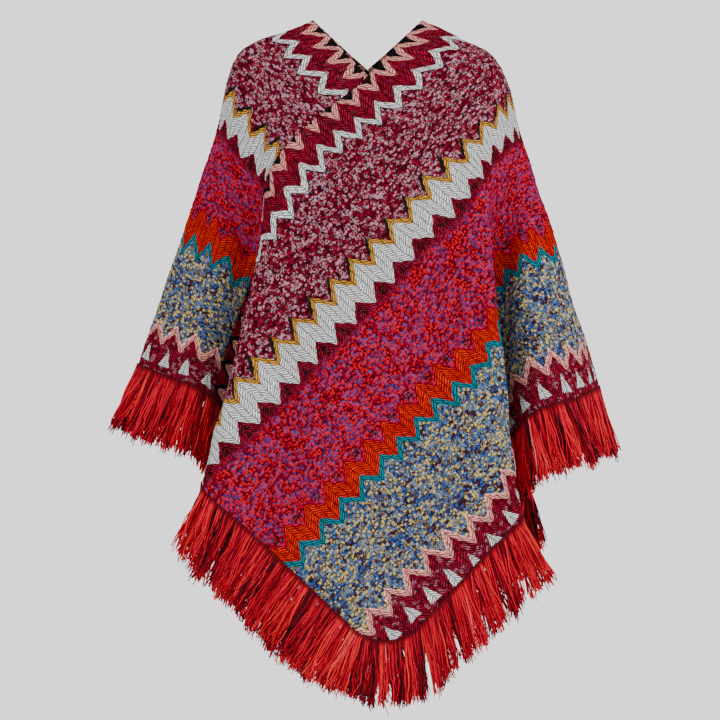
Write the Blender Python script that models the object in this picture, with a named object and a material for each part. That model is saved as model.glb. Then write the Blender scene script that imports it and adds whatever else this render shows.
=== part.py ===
"""A fringed poncho knitted in zigzag stripes, in the hollow form that it takes on a wearer.

The cut is two equal rectangles. The short end of each is sewn to the neck edge of the other, so
that both neck edges together leave a V opening in front and behind, and one panel's corner hangs
down the front and the other's down the back. Each panel also drops over one arm as a sleeve.

Frame: metres, +Z up, the wearer faces -Y, and the origin is the middle of the neck opening at the
height of the shoulder seams' inner ends, where the wearer's shoulders hold the cloth.

A point of the cloth is named by its place in the cut: along the stripes and across them. The half
of the garment in front of the arms is one flat square with the V cut out of its top corner, and so
is the half behind, so one set of functions shapes both.
"""

import math
from collections import namedtuple

import bmesh
import bpy
import numpy as np

# The cut
PANEL_WIDTH = 0.600
NECK_EDGE = 0.290
NECK_FRONT = 0.152
SHORT_END = -0.600
CORNER_RADIUS = 0.070
CLOTH = 0.0030
SEAM_GAP = 0.0008

# The neck opening
NECK_HALF_WIDTH = 0.079
NECK_SET_BACK = 0.006
V_FRONT_DEPTH = 0.084
V_FRONT_FORWARD = 0.088
V_BACK_DEPTH = 0.066
V_BACK_FORWARD = 0.088
NECK_ROUNDNESS = 1.30

# Heights of the cross-sections that the fold tables give
CHEST_Z = -0.190
WAIST_Z = -0.380

# How the cloth rolls over the top of the shoulder before it drops: how long the roll is as a share
# of the way to the chest, and how far it goes along the ridge, out from it and down
ROLL_LENGTH = 0.42
ROLL_ALONG = 0.75
ROLL_OUT = 0.90
ROLL_DOWN = 0.28

# The back hangs a little closer to the body than the front
BACK_DEPTH = 0.93

# The top edge of the outline, from the side of the neck over the shoulder and down the outer arm
Station = namedtuple("Station", "name x z")
ARM_RIDGE = {
    "right": (
        Station("neck", 0.079, 0.000),
        Station("shoulder_middle", 0.128, -0.024),
        Station("shoulder_end", 0.181, -0.045),
        Station("upper_arm", 0.203, -0.090),
        Station("above_elbow", 0.224, -0.170),
        Station("elbow", 0.262, -0.280),
        Station("forearm", 0.300, -0.408),
        Station("cuff", 0.336, -0.534),
    ),
    "left": (
        Station("neck", 0.079, 0.000),
        Station("shoulder_middle", 0.131, -0.023),
        Station("shoulder_end", 0.183, -0.042),
        Station("upper_arm", 0.202, -0.086),
        Station("above_elbow", 0.220, -0.166),
        Station("elbow", 0.255, -0.275),
        Station("forearm", 0.295, -0.395),
        Station("cuff", 0.333, -0.502),
    ),
}
NOMINAL_CUFF_Z = -0.534
SHOULDER_LENGTH = 0.200

# The folds of one quarter of the garment, from the middle of the face round to the outer arm. Each
# starts on the neck edge or on the ridge at (top_along, top_across) of the cut and ends on the hem
# at (hem_along, PANEL_WIDTH). sleeve is the share of the cuff's own height that it follows.
Fold = namedtuple(
    "Fold",
    "name top_along top_across hem_along sleeve chest_x chest_y waist_x waist_y hem_x hem_y hem_z",
)
# Where the cloth runs on from the face over the arm
PLAIN_FOLDS = (
    Fold("middle", 0.000, 0.000, -0.600, 0.0, 0.004, -0.118, 0.010, -0.142, 0.027, -0.152, -0.927),
    Fold("inner", 0.080, 0.000, -0.520, 0.0, 0.060, -0.117, 0.067, -0.141, 0.083, -0.152, -0.868),
    Fold("neck", 0.152, 0.000, -0.440, 0.0, 0.111, -0.113, 0.118, -0.139, 0.138, -0.151, -0.809),
    Fold("outer", 0.152, 0.035, -0.372, 0.0, 0.141, -0.107, 0.152, -0.134, 0.184, -0.149, -0.759),
    Fold("crest", 0.152, 0.067, -0.316, 0.0, 0.169, -0.103, 0.183, -0.130, 0.226, -0.146, -0.718),
    Fold("tuck", 0.152, 0.092, -0.235, 0.2, 0.186, -0.084, 0.158, -0.082, 0.172, -0.086, -0.695),
    Fold("valley", 0.152, 0.118, -0.160, 0.6, 0.202, -0.063, 0.180, -0.052, 0.192, -0.046, -0.640),
    Fold("sleeve_front", 0.152, 0.145, -0.058, 1.0, 0.217, -0.040, 0.226, -0.098, 0.238, -0.122, -0.570),
    Fold("sleeve_side", 0.152, 0.178, 0.012, 1.0, 0.226, -0.020, 0.264, -0.080, 0.296, -0.114, -0.552),
)
# Where the other panel's short end is sewn on
SEAM_FOLDS = (
    Fold("middle", 0.000, 0.000, -0.600, 0.0, -0.004, -0.118, -0.010, -0.142, -0.027, -0.152, -0.927),
    Fold("inner", 0.026, 0.000, -0.510, 0.0, 0.023, -0.118, 0.027, -0.141, 0.036, -0.152, -0.866),
    Fold("neck", 0.050, 0.000, -0.420, 0.0, 0.052, -0.116, 0.067, -0.140, 0.102, -0.151, -0.804),
    Fold("outer", 0.075, 0.000, -0.325, 0.0, 0.087, -0.112, 0.113, -0.137, 0.171, -0.149, -0.740),
    Fold("crest", 0.100, 0.000, -0.229, 0.0, 0.129, -0.106, 0.168, -0.134, 0.242, -0.146, -0.673),
    Fold("tuck", 0.152, 0.000, -0.150, 0.2, 0.160, -0.086, 0.143, -0.074, 0.182, -0.092, -0.664),
    Fold("valley", 0.152, 0.035, -0.075, 0.6, 0.188, -0.066, 0.174, -0.042, 0.184, -0.038, -0.628),
    Fold("sleeve_front", 0.152, 0.080, 0.020, 1.0, 0.212, -0.044, 0.232, -0.062, 0.240, -0.084, -0.570),
    Fold("sleeve_side", 0.152, 0.145, 0.072, 1.0, 0.224, -0.021, 0.262, -0.038, 0.286, -0.064, -0.553),
)

# How far the rounding of a fold reaches
FOLD_SOFTNESS = 0.032

# The fringe. A lock is drawn from each cell of its strip; rings give its share of the length and
# its width against the ring before. Lean is 1 where a lock keeps the direction of the cloth and 0
# where it hangs plumb, by the share of the hem from the hanging corner to the seam.
FRINGE_LENGTH = 0.094
LOCKS_PER_CELL = 2
LOCK_GAP = 0.0020
LOCK_UNEVEN = 0.003
LOCK_SPREAD = 3
LOCK_RINGS = ((0.4, 0.75), (1.0, 0.6))
FRINGE_LEAN = {
    "long": (
        (0.00, 0.15),
        (0.15, 0.35),
        (0.30, 0.55),
        (0.40, 0.20),
        (0.54, 0.15),
        (0.64, 0.90),
        (0.84, 1.30),
        (0.95, 0.90),
        (1.00, 0.40),
    ),
    "end": ((0.00, 0.15), (0.12, 0.70), (0.60, 0.80), (0.72, 0.25), (0.90, 0.15), (1.00, 0.40)),
}
BINDING_HEIGHT = 0.006
BINDING_CLOTH_GAP = 0.0012
# The share of a cell that the strips keep clear of each other at a hanging corner
STRIP_END_SHARE = 0.02

# The mesh: cells along a hem, and along each face's part of the neck edge
HEM_CELLS = 25
NECK_CELLS = 6
NORMAL_REACH = 0.010

PANEL_COLOR = (0.36, 0.02, 0.05)
FRINGE_COLOR = (0.62, 0.02, 0.02)


def hermite(start, end, start_slope, end_slope, t):
    """Point at t of the cubic from start to end with these slopes."""
    chord = end - start
    return (
        start
        + t * start_slope
        + t**2 * (3 * chord - 2 * start_slope - end_slope)
        + t**3 * (start_slope + end_slope - 2 * chord)
    )


def distance(a, b):
    """Distance between points, with the last axis kept."""
    return np.maximum(np.linalg.norm(b - a, axis=-1, keepdims=True), 1e-6)


def span(before, start, end, after, t):
    """Point at t between start and end, with slopes that suit uneven distances."""
    gap = distance(start, end)
    start_slope = (end - before) / (gap + distance(before, start)) * gap
    end_slope = (after - start) / (gap + distance(end, after)) * gap
    return hermite(start, end, start_slope, end_slope, t)


def ridge_curve(side):
    """Fine points down one arm ridge, as (x, z), and the cloth length to each, scaled to the cut."""
    stations = np.array([(s.x, s.z) for s in ARM_RIDGE[side]])
    padded = np.concatenate([[2 * stations[0] - stations[1]], stations, [2 * stations[-1] - stations[-2]]])
    t = np.linspace(0, 1, 40)[:, None]
    runs = [span(*padded[i : i + 4], t)[(i > 0) :] for i in range(len(stations) - 1)]
    points = np.concatenate(runs)
    length = np.concatenate([[0], np.cumsum(np.linalg.norm(np.diff(points, axis=0), axis=1))])
    return points, length * PANEL_WIDTH / length[-1]


def ridge_points(side, values, key):
    """Points of the ridge where the cloth length ("across") or the height ("z") has these values."""
    points, length = ridge_curve(side)
    if key == "across":
        x = np.interp(values, length, points[:, 0])
        z = np.interp(values, length, points[:, 1])
    else:
        z = np.asarray(values, float)
        x = np.interp(-z, -points[:, 1], points[:, 0])
    y = NECK_SET_BACK * np.clip(1 - (x - NECK_HALF_WIDTH) / NECK_HALF_WIDTH, 0, 1)
    return np.stack([x, y, z], axis=-1)


def neck_points(face, share):
    """Points on the neck edge of one face: share 0 at the V and 1 at the side of the neck."""
    front = face == "front"
    depth = V_FRONT_DEPTH if front else V_BACK_DEPTH
    forward = V_FRONT_FORWARD if front else V_BACK_FORWARD
    end = NECK_SET_BACK if front else -NECK_SET_BACK
    x = NECK_HALF_WIDTH * share
    y = -forward + (forward + end) * share**NECK_ROUNDNESS
    z = -depth * (1 - share)
    return np.stack([x, y, z], axis=-1)


def neck_part(face):
    """Length of one panel's neck edge on this face."""
    return NECK_FRONT if face == "front" else NECK_EDGE - NECK_FRONT


def world_side(face, side):
    """The front's right is the back's left."""
    if face == "front":
        return side
    return "left" if side == "right" else "right"


def ridge_in_face(face, side, across):
    """Ridge points in the face's own frame, where the back's is turned half round."""
    ridge = ridge_points(world_side(face, side), across, "across")
    return ridge if face == "front" else ridge * np.array([1, -1, 1])


def quarter(face, side):
    """The fold table of a quarter as arrays, one row a fold, with the arm ridge as the last row."""
    folds = PLAIN_FOLDS if side == "right" else SEAM_FOLDS
    outer = world_side(face, side)
    part = neck_part(face)
    deep = 1.0 if face == "front" else BACK_DEPTH
    cuff_z = ARM_RIDGE[outer][-1].z
    # The tables are drawn for the front's neck edge, so the back's shorter one scales them.
    narrow = part / NECK_FRONT
    top = [(f.top_along * narrow, f.top_across) for f in folds]
    hem = [(f.hem_along * (narrow if f.hem_along > 0 else 1), PANEL_WIDTH) for f in folds]
    chest = [(f.chest_x, f.chest_y * deep, CHEST_Z) for f in folds]
    waist = [(f.waist_x, f.waist_y * deep, WAIST_Z) for f in folds]
    low = [(f.hem_x, f.hem_y * deep, f.hem_z + f.sleeve * (cuff_z - NOMINAL_CUFF_Z)) for f in folds]
    top.append((part, SHOULDER_LENGTH))
    hem.append((part, PANEL_WIDTH))
    chest.append(ridge_points(outer, CHEST_Z, "z"))
    waist.append(ridge_points(outer, WAIST_Z, "z"))
    low.append(ridge_points(outer, cuff_z, "z"))
    return [np.array(rows, float) for rows in (top, hem, chest, waist, low)]


def around(rows, place):
    """Value at place across the folds. The curve is level at the middle and square at the ridge."""
    first = 2 * rows[0] - rows[1]
    first[1] = rows[1][1]
    last = rows[-2] * np.array([1, -1, 1])
    padded = np.concatenate([[first], rows, [last]])
    index = np.clip(np.floor(place).astype(int), 0, len(rows) - 2)
    t = (place - index)[..., None]
    return span(padded[index], padded[index + 1], padded[index + 2], padded[index + 3], t)


def straight(rows, place):
    """Value at place on the straight runs between rows."""
    index = np.clip(np.floor(place).astype(int), 0, len(rows) - 2)
    t = (place - index)[..., None]
    return rows[index] * (1 - t) + rows[index + 1] * t


def fold_place(top, hem, along, across):
    """The fold line through each point of the flat cut, as a real number, and how far down it is."""
    low = np.zeros_like(along)
    high = np.full_like(along, len(top) - 1.0)
    for _ in range(40):
        middle = (low + high) / 2
        start = straight(top, middle)
        run = straight(hem, middle) - start
        beyond = run[..., 0] * (across - start[..., 1]) - run[..., 1] * (along - start[..., 0]) < 0
        low = np.where(beyond, middle, low)
        high = np.where(beyond, high, middle)
    place = (low + high) / 2
    start = straight(top, place)
    run = straight(hem, place) - start
    way = (along - start[..., 0]) * run[..., 0] + (across - start[..., 1]) * run[..., 1]
    return place, np.clip(way / (run**2).sum(-1), 0, 1), start, run


def down_line(knots, start_direction, reach):
    """Point at reach, a share of the length, on the smooth curve through the knots."""
    stretches = [distance(knots[i], knots[i + 1])[..., 0] for i in range(len(knots) - 1)]
    ends = np.cumsum([np.zeros_like(reach), *stretches], axis=0)
    target = reach * ends[-1]
    last = 2 * knots[-1] - knots[-2]
    every = [*knots, last]
    found = knots[0]
    for i, stretch in enumerate(stretches):
        t = np.clip((target - ends[i]) / stretch, 0, 1)[..., None]
        gap = stretch[..., None]
        if i == 0:
            start_slope = start_direction * gap
        else:
            start_slope = (every[i + 1] - every[i - 1]) / (gap + distance(every[i - 1], every[i])) * gap
        end_slope = (every[i + 2] - every[i]) / (gap + distance(every[i + 1], every[i + 2])) * gap
        point = hermite(every[i], every[i + 1], start_slope, end_slope, t)
        found = np.where((target >= ends[i])[..., None], point, found)
    return found


def quarter_points(face, side, along, across):
    """Points of the middle surface of a quarter, in its face's own frame with x outward."""
    top, hem, chest, waist, low = quarter(face, side)
    place, reach, start, run = fold_place(top, hem, along, across)
    part = neck_part(face)
    neck_share = np.clip(start[..., 0] / part, 0, 1)
    down_ridge = start[..., 1]
    on_ridge = down_ridge > 0
    first = np.where(
        on_ridge[..., None], ridge_in_face(face, side, down_ridge), neck_points(face, neck_share)
    )
    second = around(chest, place)
    # From the ridge the cloth leaves at the angle that it has in the flat cut.
    direction = run / distance(run * 0, run)
    reach_out = (ROLL_LENGTH * distance(first, second))[..., 0]
    ahead = ridge_in_face(face, side, down_ridge + ROLL_ALONG * reach_out * direction[..., 1])
    outward = -reach_out * direction[..., 0]
    sunk = np.stack([0 * outward, -ROLL_OUT * outward, -ROLL_DOWN * outward], axis=-1)
    tangent = ridge_in_face(face, side, down_ridge + 0.01) - ridge_in_face(face, side, down_ridge)
    tangent = tangent / distance(tangent * 0, tangent) * direction[..., 1:]
    tangent[..., 1] += direction[..., 0]
    # From the V it runs straight down, and between the two it turns from the one to the other.
    plain_roll = first + (second - first) * np.array([0.5, 0.55, 0.4])
    plain_tangent = (plain_roll - first) / distance(first, plain_roll)
    turn = (neck_share**2)[..., None]
    roll = plain_roll * (1 - turn) + (ahead + sunk) * turn
    leaving = plain_tangent * (1 - turn) + tangent * turn
    knots = [first, roll, second, around(waist, place), around(low, place)]
    return down_line(knots, leaving, reach)


def sharp_points(face, along, across):
    """Points of one face of the garment, for places in its flat square measured from the V."""
    right = along + across >= 0
    quarter_along = np.where(right, along, -across)
    quarter_across = np.where(right, across, -along)
    plain = quarter_points(face, "right", quarter_along, quarter_across)
    sewn = quarter_points(face, "left", quarter_along, quarter_across) * np.array([-1, 1, 1])
    points = np.where(right[..., None], plain, sewn)
    return points if face == "front" else points * np.array([-1, -1, 1])


def face_points(face, along, across):
    """Points of one face with its folds rounded, as a mean over a small cross of places."""
    part = neck_part(face)
    other_part = NECK_EDGE - part
    inside_along = np.maximum(-along, np.minimum(across, part - along))
    inside_across = np.maximum(across, np.minimum(-along, other_part + across))
    reach_along = np.clip(np.minimum(along - SHORT_END, inside_along), 0, FOLD_SOFTNESS)
    reach_across = np.clip(np.minimum(PANEL_WIDTH - across, inside_across), 0, FOLD_SOFTNESS)
    total = sharp_points(face, along, across)
    weights = 1.0
    for share, weight in ((0.5, 1.0), (1.0, 0.6)):
        for sign in (-1, 1):
            total = total + weight * sharp_points(face, along + sign * share * reach_along, across)
            total = total + weight * sharp_points(face, along, across + sign * share * reach_across)
        weights += 4 * weight
    return total / weights


def face_normals(face, along, across):
    """Unit normals of a face, facing out, taken over its seam so that both edges share them."""
    step = NORMAL_REACH
    neck_low = np.where(along > 0, 0.0, SHORT_END)
    above = np.maximum(across - step, neck_low)
    below = np.minimum(across + step, PANEL_WIDTH)
    behind = np.maximum(along - step, SHORT_END)
    ahead = np.minimum(along + step, np.where(across < 0, 0.0, neck_part(face)))
    down = face_points(face, along, below) - face_points(face, along, above)
    side = face_points(face, ahead, across) - face_points(face, behind, across)
    normal = np.cross(down, side)
    return normal / distance(normal * 0, normal)


def on_panel(function, face, along, across):
    """Value of a face function at places of the panel whose short end is on this face."""
    other = "back" if face == "front" else "front"
    here = along <= neck_part(face)
    near = function(face, np.where(here, along, 0), np.where(here, across, 0))
    beyond_along = np.where(here, 0, -across)
    beyond_across = np.where(here, 0, along - NECK_EDGE)
    return np.where(here[..., None], near, function(other, beyond_along, beyond_across))


def panel_points(face, along, across):
    """Points of a panel's middle surface: along runs from its short end to its sewn end."""
    return on_panel(face_points, face, along, across)


def panel_normals(face, along, across):
    """Unit normals of a panel, facing out."""
    return on_panel(face_normals, face, along, across)


def rounded(along, across):
    """The flat place of a grid point once the panel's hanging corner is rounded."""
    a = np.clip((SHORT_END + CORNER_RADIUS - along) / CORNER_RADIUS, 0, 1)
    b = np.clip((across - PANEL_WIDTH + CORNER_RADIUS) / CORNER_RADIUS, 0, 1)
    inside = (a > 0) & (b > 0)
    round_along = SHORT_END + CORNER_RADIUS - CORNER_RADIUS * a * np.sqrt(1 - b**2 / 2)
    round_across = PANEL_WIDTH - CORNER_RADIUS + CORNER_RADIUS * b * np.sqrt(1 - a**2 / 2)
    return np.where(inside, round_along, along), np.where(inside, round_across, across)


def flat_grid(face):
    """The panel's grid in its flat cut, set back from the seams by half of their gap."""
    along = np.concatenate(
        [
            np.linspace(SHORT_END, 0, HEM_CELLS + 1)[:-1],
            np.linspace(0, neck_part(face), NECK_CELLS + 1)[:-1],
            np.linspace(neck_part(face), NECK_EDGE - SEAM_GAP / 2, NECK_CELLS + 1),
        ]
    )
    across = np.linspace(0, PANEL_WIDTH, HEM_CELLS + 1)
    along, across = np.meshgrid(along, across, indexing="ij")
    on_seam = (across == 0) & (along <= 0)
    across = np.where(on_seam, SEAM_GAP / 2, across)
    return rounded(along, across)


def split_along_folds(vertices, rows, columns):
    """Cut every cell of a grid in two on the diagonal that runs with the folds of its face."""
    for row in range(rows - 1):
        before_ridge = row < HEM_CELLS + NECK_CELLS
        for column in range(columns - 1):
            first = row * columns + column
            corners = [vertices[first + i] for i in (0, 1, columns + 1, columns)]
            cell = next(f for f in corners[0].link_faces if all(v in f.verts for v in corners))
            ends = (corners[3], corners[1]) if before_ridge else (corners[0], corners[2])
            bmesh.utils.face_split(cell, *ends)


def panel_mesh(face):
    """One panel as a closed wall: an outer and an inner layer of a grid, joined round the edge."""
    along, across = flat_grid(face)
    middle = panel_points(face, along, across)
    half = panel_normals(face, along, across) * CLOTH / 2
    rows, columns = along.shape
    mesh = bmesh.new()
    for layer in (middle + half, middle - half):
        made = bmesh.ops.create_grid(mesh, x_segments=columns - 1, y_segments=rows - 1, size=1)["verts"]
        for i, vertex in enumerate(made):
            vertex.co = layer[i // columns, i % columns]
        split_along_folds(made, rows, columns)
    rims = [e for e in mesh.edges if e.is_boundary]
    bmesh.ops.bridge_loops(mesh, edges=rims)
    bmesh.ops.recalc_face_normals(mesh, faces=mesh.faces)
    return mesh


def hem_frame(face, edge):
    """Points along one hem from the hanging corner to the seam, the way out of it and the normal."""
    along, across = flat_grid(face)
    if edge == "long":
        along, across = along[:, -1], across[:, -1]
    else:
        along, across = along[0, ::-1], across[0, ::-1]
    points = panel_points(face, along, across)
    normal = panel_normals(face, along, across)
    run = np.gradient(points, axis=0) * (1 if edge == "long" else -1)
    outward = np.cross(run, normal)
    outward = outward / distance(outward * 0, outward)
    # Several locks hang from each cell of the cloth's own hem, so that the strip stays parallel.
    place = np.arange((len(points) - 1) * LOCKS_PER_CELL + 1) / LOCKS_PER_CELL
    place[0] = STRIP_END_SHARE
    return straight(points, place), straight(outward, place), straight(normal, place)


def fringe_mesh(face, edge):
    """A narrow strip along a hem, with a lock drawn out of each cell of its lower side."""
    points, outward, normal = hem_frame(face, edge)
    half = normal * CLOTH / 2
    near = points + outward * BINDING_CLOTH_GAP
    far = near + outward * BINDING_HEIGHT
    mesh = bmesh.new()
    rings = []
    for corners in zip(near + half, far + half, far - half, near - half):
        rings.append([mesh.verts.new(c) for c in corners])
    undersides = []
    for first, second in zip(rings, rings[1:]):
        quads = []
        for i in range(4):
            j = (i + 1) % 4
            quads.append(mesh.faces.new((first[i], first[j], second[j], second[i])))
        undersides.append(quads[1])
    mesh.faces.new(rings[0])
    mesh.faces.new(rings[-1][::-1])
    bmesh.ops.recalc_face_normals(mesh, faces=mesh.faces)
    count = len(undersides)
    lean = np.interp(np.arange(count) / count, *zip(*FRINGE_LEAN[edge]))[:, None]
    ways = (outward[1:] + outward[:-1]) / 2 * lean + np.array([0, 0, -1]) * (1 - lean)
    # Neighbouring locks hang side by side, so each takes the mean way of those about it.
    spread = np.arange(-LOCK_SPREAD, LOCK_SPREAD + 1)
    index = np.clip(np.arange(count)[:, None] + spread, 0, count - 1)
    ways = ways[index].mean(axis=1)
    ways = ways / distance(ways * 0, ways)
    for i, underside in enumerate(undersides):
        draw_lock(mesh, underside, ways[i], i)
    return mesh


def draw_lock(mesh, root, way, index):
    """Draw one tapering lock of fringe out of a face, a little uneven from lock to lock."""
    bmesh.ops.inset_individual(mesh, faces=[root], thickness=LOCK_GAP / 2, depth=0.0)
    uneven = math.sin(index * 2.4) + math.sin(index * 1.13 + 1)
    length = FRINGE_LENGTH - BINDING_HEIGHT + LOCK_UNEVEN * uneven
    start = np.array(root.calc_center_median())
    tip = root
    for share, size in LOCK_RINGS:
        tip = bmesh.ops.extrude_discrete_faces(mesh, faces=[tip])["faces"][0]
        center = np.array(tip.calc_center_median())
        moved = start + way * length * share
        for vertex in tip.verts:
            vertex.co = moved + (np.array(vertex.co) - center) * size


def add_object(name, mesh, color, collection):
    """Put a mesh in the collection under its own name and material."""
    data = bpy.data.meshes.new(name)
    mesh.to_mesh(data)
    mesh.free()
    material = bpy.data.materials.new(name)
    material.use_nodes = True
    shader = material.node_tree.nodes["Principled BSDF"]
    shader.inputs["Base Color"].default_value = (*color, 1)
    shader.inputs["Roughness"].default_value = 0.9
    data.materials.append(material)
    thing = bpy.data.objects.new(name, data)
    collection.objects.link(thing)
    return thing


for old in list(bpy.data.objects):
    bpy.data.objects.remove(old, do_unlink=True)
poncho = bpy.data.collections.new("poncho")
bpy.context.scene.collection.children.link(poncho)
for hanging_face in ("front", "back"):
    add_object(f"{hanging_face}_wrap_panel", panel_mesh(hanging_face), PANEL_COLOR, poncho)
    for hem_edge in ("long", "end"):
        add_object(
            f"{hanging_face}_{hem_edge}_fringe", fringe_mesh(hanging_face, hem_edge), FRINGE_COLOR, poncho
        )
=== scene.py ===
"""The looks of a fringed poncho knitted in zigzag stripes, in the form that it takes when worn.

The cloth follows the same cut as its solids: two equal rectangles, each with a short end sewn to
the neck edge of the other. A place in a panel's flat cut (along its stripes and across them) gives
the point in space, and the colours are worked out from the same place.
"""

import math
from collections import namedtuple

import bpy
import numpy as np
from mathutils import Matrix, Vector


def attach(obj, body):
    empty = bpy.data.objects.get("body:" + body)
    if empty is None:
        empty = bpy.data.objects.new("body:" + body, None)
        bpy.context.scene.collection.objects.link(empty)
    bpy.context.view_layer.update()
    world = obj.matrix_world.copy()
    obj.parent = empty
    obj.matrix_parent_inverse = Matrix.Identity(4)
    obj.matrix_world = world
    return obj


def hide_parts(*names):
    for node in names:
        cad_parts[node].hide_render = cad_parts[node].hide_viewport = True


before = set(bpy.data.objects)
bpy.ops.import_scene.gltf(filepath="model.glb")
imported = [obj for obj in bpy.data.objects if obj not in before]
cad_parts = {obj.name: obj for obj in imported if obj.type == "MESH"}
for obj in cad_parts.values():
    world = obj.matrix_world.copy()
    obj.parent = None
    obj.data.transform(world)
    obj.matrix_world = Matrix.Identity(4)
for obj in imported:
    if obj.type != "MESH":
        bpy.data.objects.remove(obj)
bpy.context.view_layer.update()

# The cut
PANEL_WIDTH = 0.600
NECK_EDGE = 0.290
NECK_FRONT = 0.152
SHORT_END = -0.600
CORNER_RADIUS = 0.070
CLOTH = 0.0030
SEAM_GAP = 0.0008

# The neck opening
NECK_HALF_WIDTH = 0.079
NECK_SET_BACK = 0.006
V_FRONT_DEPTH = 0.084
V_FRONT_FORWARD = 0.088
V_BACK_DEPTH = 0.066
V_BACK_FORWARD = 0.088
NECK_ROUNDNESS = 1.30

# Heights of the cross-sections that the fold tables give
CHEST_Z = -0.190
WAIST_Z = -0.380

# How the cloth rolls over the top of the shoulder before it drops: how long the roll is as a share
# of the way to the chest, and how far it goes along the ridge, out from it and down
ROLL_LENGTH = 0.42
ROLL_ALONG = 0.75
ROLL_OUT = 0.90
ROLL_DOWN = 0.28
# Straight down from the V the roll's end is this share of the way to the chest, in x, y and z
PLAIN_ROLL = (0.50, 0.55, 0.40)
# How far apart two points on the ridge are that give its direction
RIDGE_STEP = 0.01
# Points between two stations of the ridge, and halvings that find the fold through a place
RIDGE_POINTS = 40
HALVINGS = 40

# The back hangs a little closer to the body than the front
BACK_DEPTH = 0.93

# The top edge of the outline, from the side of the neck over the shoulder and down the outer arm
Station = namedtuple("Station", "name x z")
ARM_RIDGE = {
    "right": (
        Station("neck", 0.079, 0.000),
        Station("shoulder_middle", 0.128, -0.024),
        Station("shoulder_end", 0.181, -0.045),
        Station("upper_arm", 0.203, -0.090),
        Station("above_elbow", 0.224, -0.170),
        Station("elbow", 0.262, -0.280),
        Station("forearm", 0.300, -0.408),
        Station("cuff", 0.336, -0.534),
    ),
    "left": (
        Station("neck", 0.079, 0.000),
        Station("shoulder_middle", 0.131, -0.023),
        Station("shoulder_end", 0.183, -0.042),
        Station("upper_arm", 0.202, -0.086),
        Station("above_elbow", 0.220, -0.166),
        Station("elbow", 0.255, -0.275),
        Station("forearm", 0.295, -0.395),
        Station("cuff", 0.333, -0.502),
    ),
}
NOMINAL_CUFF_Z = -0.534
SHOULDER_LENGTH = 0.200

# The folds of one quarter of the garment, from the middle of the face round to the outer arm. Each
# starts on the neck edge or on the ridge at (top_along, top_across) of the cut and ends on the hem
# at (hem_along, PANEL_WIDTH). sleeve is the share of the cuff's own height that it follows.
Fold = namedtuple(
    "Fold",
    "name top_along top_across hem_along sleeve chest_x chest_y waist_x waist_y hem_x hem_y hem_z",
)
# Where the cloth runs on from the face over the arm
PLAIN_FOLDS = (
    Fold("middle", 0.000, 0.000, -0.600, 0.0, 0.004, -0.118, 0.010, -0.142, 0.027, -0.152, -0.927),
    Fold("inner", 0.080, 0.000, -0.520, 0.0, 0.060, -0.117, 0.067, -0.141, 0.083, -0.152, -0.868),
    Fold("neck", 0.152, 0.000, -0.440, 0.0, 0.111, -0.113, 0.118, -0.139, 0.138, -0.151, -0.809),
    Fold("outer", 0.152, 0.035, -0.372, 0.0, 0.141, -0.107, 0.152, -0.134, 0.184, -0.149, -0.759),
    Fold("crest", 0.152, 0.067, -0.316, 0.0, 0.169, -0.103, 0.183, -0.130, 0.226, -0.146, -0.718),
    Fold("tuck", 0.152, 0.092, -0.235, 0.2, 0.186, -0.084, 0.158, -0.082, 0.172, -0.086, -0.695),
    Fold("valley", 0.152, 0.118, -0.160, 0.6, 0.202, -0.063, 0.180, -0.052, 0.192, -0.046, -0.640),
    Fold("sleeve_front", 0.152, 0.145, -0.058, 1.0, 0.217, -0.040, 0.226, -0.098, 0.238, -0.122, -0.570),
    Fold("sleeve_side", 0.152, 0.178, 0.012, 1.0, 0.226, -0.020, 0.264, -0.080, 0.296, -0.114, -0.552),
)
# Where the other panel's short end is sewn on
SEAM_FOLDS = (
    Fold("middle", 0.000, 0.000, -0.600, 0.0, -0.004, -0.118, -0.010, -0.142, -0.027, -0.152, -0.927),
    Fold("inner", 0.026, 0.000, -0.510, 0.0, 0.023, -0.118, 0.027, -0.141, 0.036, -0.152, -0.866),
    Fold("neck", 0.050, 0.000, -0.420, 0.0, 0.052, -0.116, 0.067, -0.140, 0.102, -0.151, -0.804),
    Fold("outer", 0.075, 0.000, -0.325, 0.0, 0.087, -0.112, 0.113, -0.137, 0.171, -0.149, -0.740),
    Fold("crest", 0.100, 0.000, -0.229, 0.0, 0.129, -0.106, 0.168, -0.134, 0.242, -0.146, -0.673),
    Fold("tuck", 0.152, 0.000, -0.150, 0.2, 0.160, -0.086, 0.143, -0.074, 0.182, -0.092, -0.664),
    Fold("valley", 0.152, 0.035, -0.075, 0.6, 0.188, -0.066, 0.174, -0.042, 0.184, -0.038, -0.628),
    Fold("sleeve_front", 0.152, 0.080, 0.020, 1.0, 0.212, -0.044, 0.232, -0.062, 0.240, -0.084, -0.570),
    Fold("sleeve_side", 0.152, 0.145, 0.072, 1.0, 0.224, -0.021, 0.262, -0.038, 0.286, -0.064, -0.553),
)

# How far the rounding of a fold reaches, and the shares of that at which places are averaged, each
# with its weight
FOLD_SOFTNESS = 0.032
ROUNDING = ((0.5, 1.0), (1.0, 0.6))

# The cloth's grid, in cells along a hem and along each face's part of the neck edge
GRID_HEM = 180
GRID_NECK = 44

# Soft noise as a sum of waves: how many, how many of them to the size, and what brings it within 1
NOISE_WAVES = 14
NOISE_RATES = (0.6, 1.5)
NOISE_LIMIT = 1.6

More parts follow.
